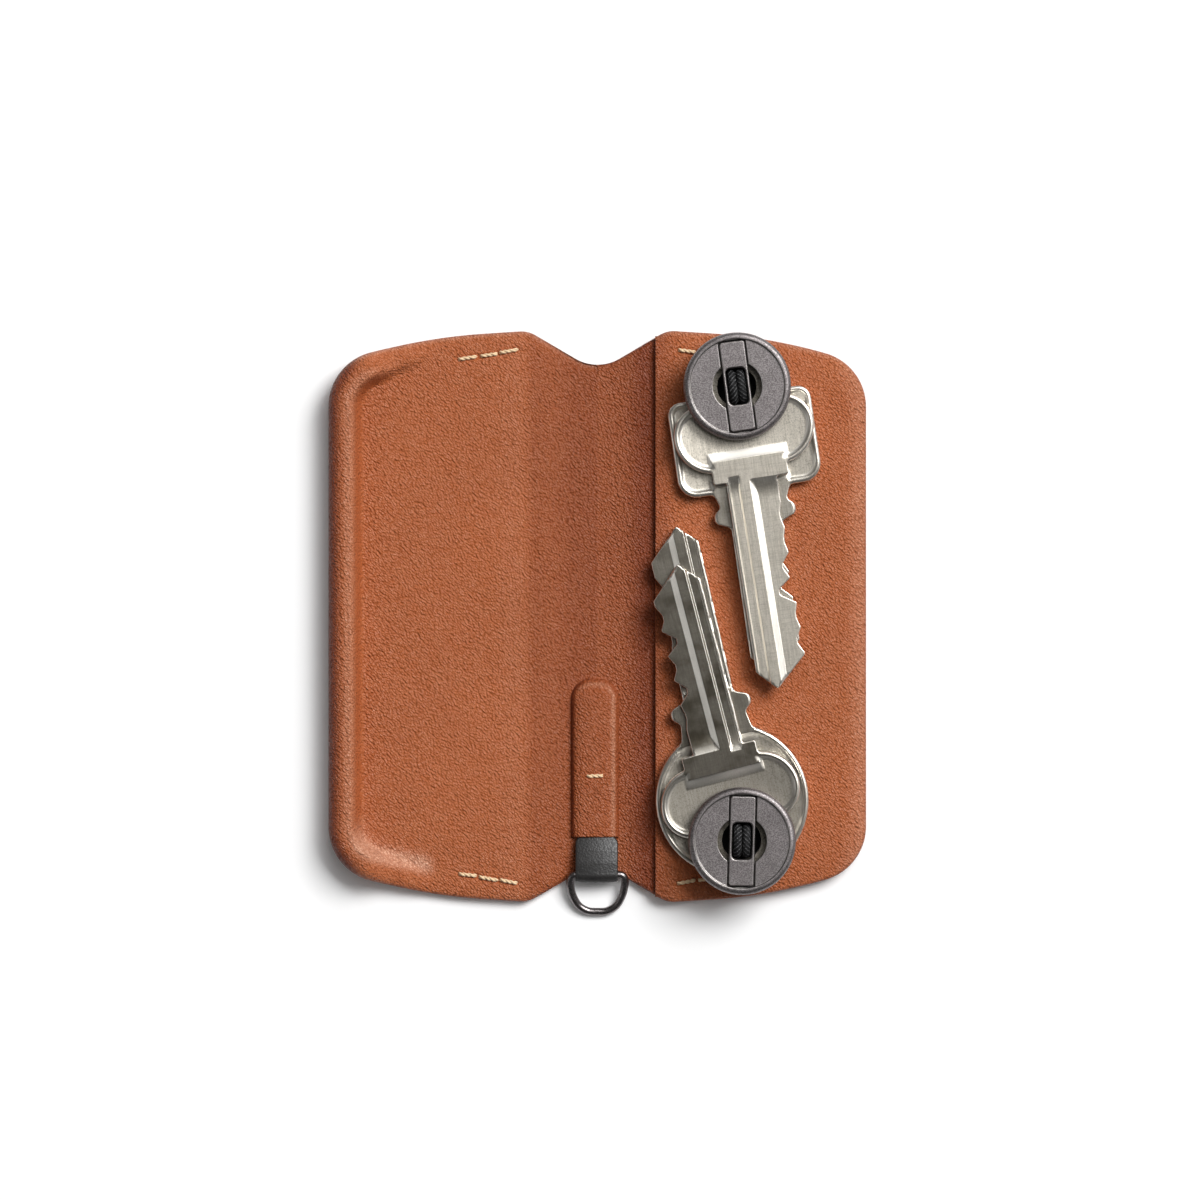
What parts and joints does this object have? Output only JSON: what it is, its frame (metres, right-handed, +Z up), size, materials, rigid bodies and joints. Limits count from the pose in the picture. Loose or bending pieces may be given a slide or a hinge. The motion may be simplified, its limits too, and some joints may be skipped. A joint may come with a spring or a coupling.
{
  "type": "folding key case",
  "caption": "Folding leather key case lying open, with keys on toggle posts, a raised rim on the flap, and a tab with a hanging ring.",
  "frame": {"origin": "middle of the back panel's flat underside, which rests on the table", "axes": "+X from the front flap to the back panel, +Y along the case towards the end without the ring, +Z up, out of the open case's inside"},
  "size_m": [0.0895, 0.0976, 0.0106],
  "materials": {
    "outer_leather": "waxed full grain",
    "lining_leather": "smooth full grain",
    "board": "matt",
    "plain_steel": "plain",
    "thread": "twisted thread",
    "strap_webbing": "fine grain",
    "gunmetal": "satin",
    "key_nickel": "worn nickel",
    "elastic_cord": "braided"
  },
  "bodies": {
    "back": {"back_outer_leather": "outer_leather", "back_stiffener": "board", "back_lining": "lining_leather", "upper_keeper_plate": "plain_steel", "lower_keeper_plate": "plain_steel", "back_upper_stitches": "thread", "back_lower_stitches": "thread"},
    "spine": {"spine_outer_leather": "outer_leather", "spine_lining": "lining_leather", "tab_sleeve": "outer_leather", "tab_strap": "strap_webbing", "tab_stitch": "thread"},
    "front": {"front_outer_leather": "outer_leather", "front_stiffener": "board", "front_lining": "lining_leather", "front_rim": "outer_leather", "upper_magnet": "plain_steel", "lower_magnet": "plain_steel", "front_upper_stitches": "thread", "front_lower_stitches": "thread"},
    "ring": {"d_ring": "gunmetal"},
    "upper_post": {"upper_cap": "gunmetal", "upper_cord": "elastic_cord", "upper_cord_anchor": "plain_steel"},
    "upper_toggle": {"upper_toggle_bar": "gunmetal", "upper_toggle_pin": "gunmetal"},
    "upper_front_key": {"upper_front_key": "key_nickel"},
    "upper_rear_key": {"upper_rear_key": "key_nickel"},
    "lower_post": {"lower_cap": "gunmetal", "lower_cord": "elastic_cord", "lower_cord_anchor": "plain_steel"},
    "lower_toggle": {"lower_toggle_bar": "gunmetal", "lower_toggle_pin": "gunmetal"},
    "lower_front_key": {"lower_front_key": "key_nickel"},
    "lower_rear_key": {"lower_rear_key": "key_nickel"}
  },
  "joints": [
    {"name": "spine_fold", "type": "hinge", "parent": "back", "child": "spine", "pos_m": [-0.01837, 0, 0.0013], "axis": [0, 1, 0], "range_deg": [0, 90]},
    {"name": "cover_fold", "type": "hinge", "parent": "spine", "child": "front", "pos_m": [-0.03438, 0, 0.0013], "axis": [0, 1, 0], "range_deg": [0, 102]},
    {"name": "ring_swing", "type": "hinge", "parent": "spine", "child": "ring", "pos_m": [-0.02637, -0.043, 0.00253], "axis": [1, 0, 0], "range_deg": [-150, 0]},
    {"name": "upper_post_turn", "type": "hinge", "parent": "back", "child": "upper_post", "pos_m": [-0.00328, 0.0381, 0.009], "axis": [0, 0, 1], "range_deg": [-90, 90]},
    {"name": "upper_toggle_lift", "type": "slide", "parent": "upper_post", "child": "upper_toggle", "axis": [0, 0, -1], "range_m": [-0.006, 0], "stiffness_N_per_m": 600, "springref_m": 0.001, "deforming": ["upper_cord"]},
    {"name": "upper_front_key_swing", "type": "hinge", "parent": "back", "child": "upper_front_key", "pos_m": [-0.00328, 0.0381, 0.005], "axis": [0, 0, 1], "range_deg": [0, 170]},
    {"name": "upper_rear_key_swing", "type": "hinge", "parent": "back", "child": "upper_rear_key", "pos_m": [-0.00328, 0.0381, 0.005], "axis": [0, 0, 1], "range_deg": [0, 170]},
    {"name": "lower_post_turn", "type": "hinge", "parent": "back", "child": "lower_post", "pos_m": [-0.00248, -0.0371, 0.009], "axis": [0, 0, 1], "range_deg": [-90, 90]},
    {"name": "lower_toggle_lift", "type": "slide", "parent": "lower_post", "child": "lower_toggle", "axis": [0, 0, -1], "range_m": [-0.006, 0], "stiffness_N_per_m": 600, "springref_m": 0.001, "deforming": ["lower_cord"]},
    {"name": "lower_front_key_swing", "type": "hinge", "parent": "back", "child": "lower_front_key", "pos_m": [-0.00248, -0.0371, 0.005], "axis": [0, 0, 1], "range_deg": [0, 160]},
    {"name": "lower_rear_key_swing", "type": "hinge", "parent": "back", "child": "lower_rear_key", "pos_m": [-0.00248, -0.0371, 0.005], "axis": [0, 0, 1], "range_deg": [0, 160]}
  ],
  "couplings": [
    {"joint": "cover_fold", "follows": "spine_fold", "ratio": 1.1333}
  ]
}
